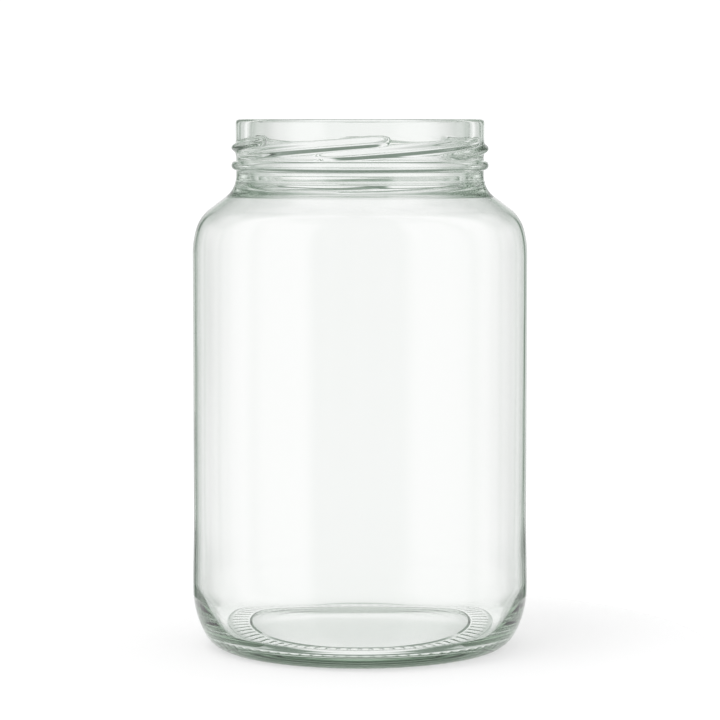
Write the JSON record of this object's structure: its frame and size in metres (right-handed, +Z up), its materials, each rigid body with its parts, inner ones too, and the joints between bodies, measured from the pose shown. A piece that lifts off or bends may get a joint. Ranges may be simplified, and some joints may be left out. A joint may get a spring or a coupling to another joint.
{
  "type": "mason jar",
  "caption": "Wide-mouth clear glass storage jar with a round body, a sloped shoulder, a lug-thread finish over a transfer bead, and a stippled base ring; open, with no lid.",
  "frame": {"origin": "centre of the ring the jar stands on, on the jar's axis", "axes": "+Z up along the jar's axis, out of the mouth; -Y is the side seen in the picture, +X to its right"},
  "size_m": [0.1422, 0.1422, 0.223],
  "materials": {
    "glass": "clear, polished, with a faint green cast in thick glass"
  },
  "bodies": {
    "root": {"glass_jar": "glass"}
  },
  "joints": []
}
